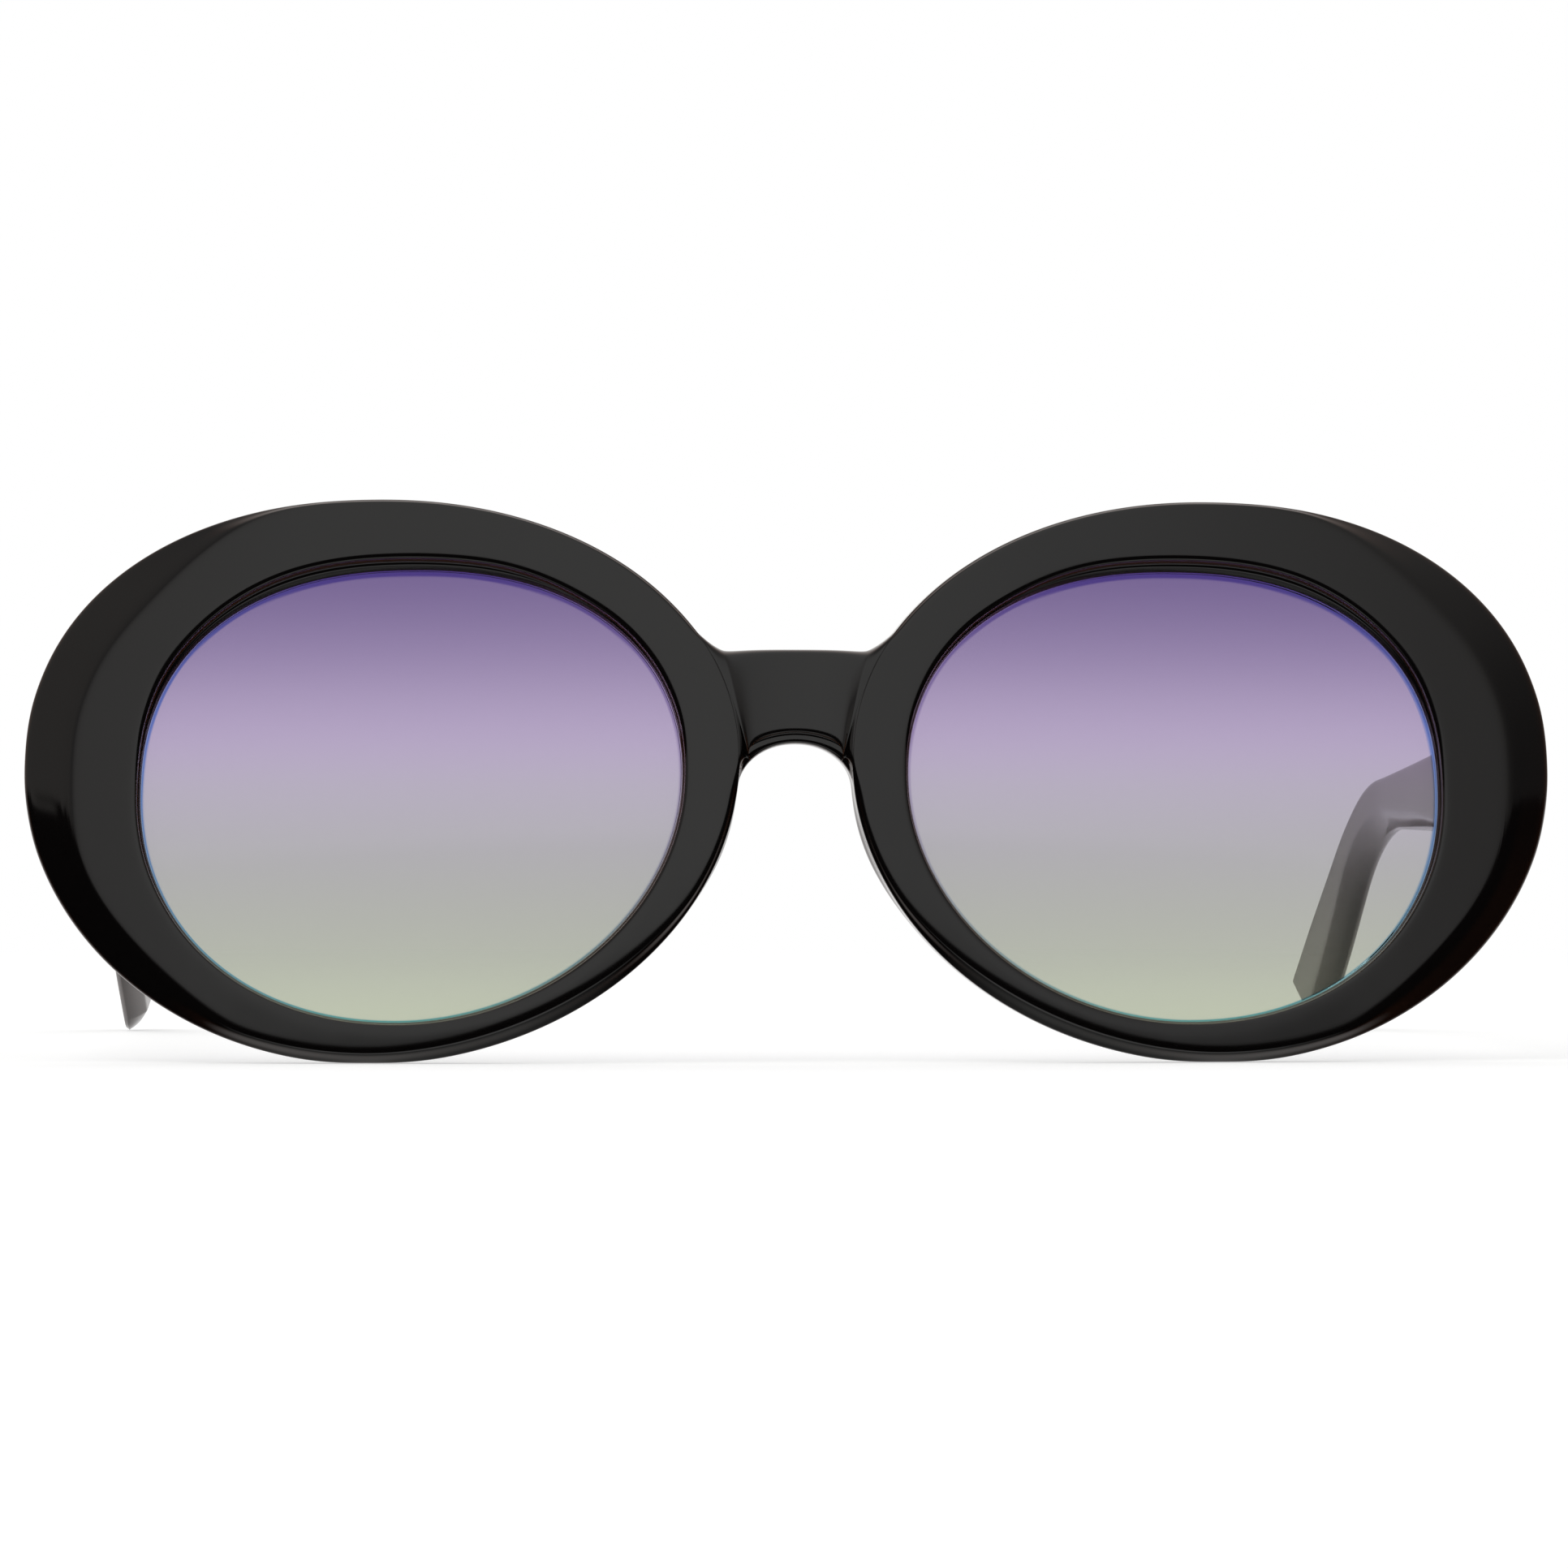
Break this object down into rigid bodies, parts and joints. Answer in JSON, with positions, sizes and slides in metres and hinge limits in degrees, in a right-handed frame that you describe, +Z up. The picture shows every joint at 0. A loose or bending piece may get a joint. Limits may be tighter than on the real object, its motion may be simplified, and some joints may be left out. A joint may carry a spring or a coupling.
{
  "type": "sunglasses",
  "caption": "Sunglasses with a thick glossy oval plastic front, gradient-tinted lenses and plastic temples that fold flat on barrel hinges.",
  "frame": {"origin": "on the surface the sunglasses stand on, below the middle of the box round them with the temples open", "axes": "+X to the right of someone who faces the lenses, +Y back along the open temples, +Z up"},
  "size_m": [0.1496, 0.1556, 0.0545],
  "materials": {
    "front_plastic": "polished black acetate",
    "temple_plastic": "polished black acetate",
    "lens_tint": "purple to grey-green gradient tint, coated",
    "hinge_nickel": "satin nickel silver",
    "screw_steel": "plain steel",
    "core_steel": "plain wire"
  },
  "bodies": {
    "front": {"front_frame": "front_plastic", "lens_left": "lens_tint", "lens_right": "lens_tint", "hinge_front_leaf_left": "hinge_nickel", "hinge_front_leaf_right": "hinge_nickel", "hinge_screw_left": "screw_steel", "hinge_screw_right": "screw_steel"},
    "left_temple": {"temple_left": "temple_plastic", "temple_core_left": "core_steel", "hinge_temple_leaf_left": "hinge_nickel"},
    "right_temple": {"temple_right": "temple_plastic", "temple_core_right": "core_steel", "hinge_temple_leaf_right": "hinge_nickel"}
  },
  "joints": [
    {"name": "fold_left", "type": "hinge", "parent": "front", "child": "left_temple", "pos_m": [-0.0678, -0.06417, 0.02725], "axis": [0, -0.0131, -0.9999], "range_deg": [0, 91]},
    {"name": "fold_right", "type": "hinge", "parent": "front", "child": "right_temple", "pos_m": [0.0678, -0.06417, 0.02725], "axis": [0, 0.0131, 0.9999], "range_deg": [0, 85]}
  ]
}
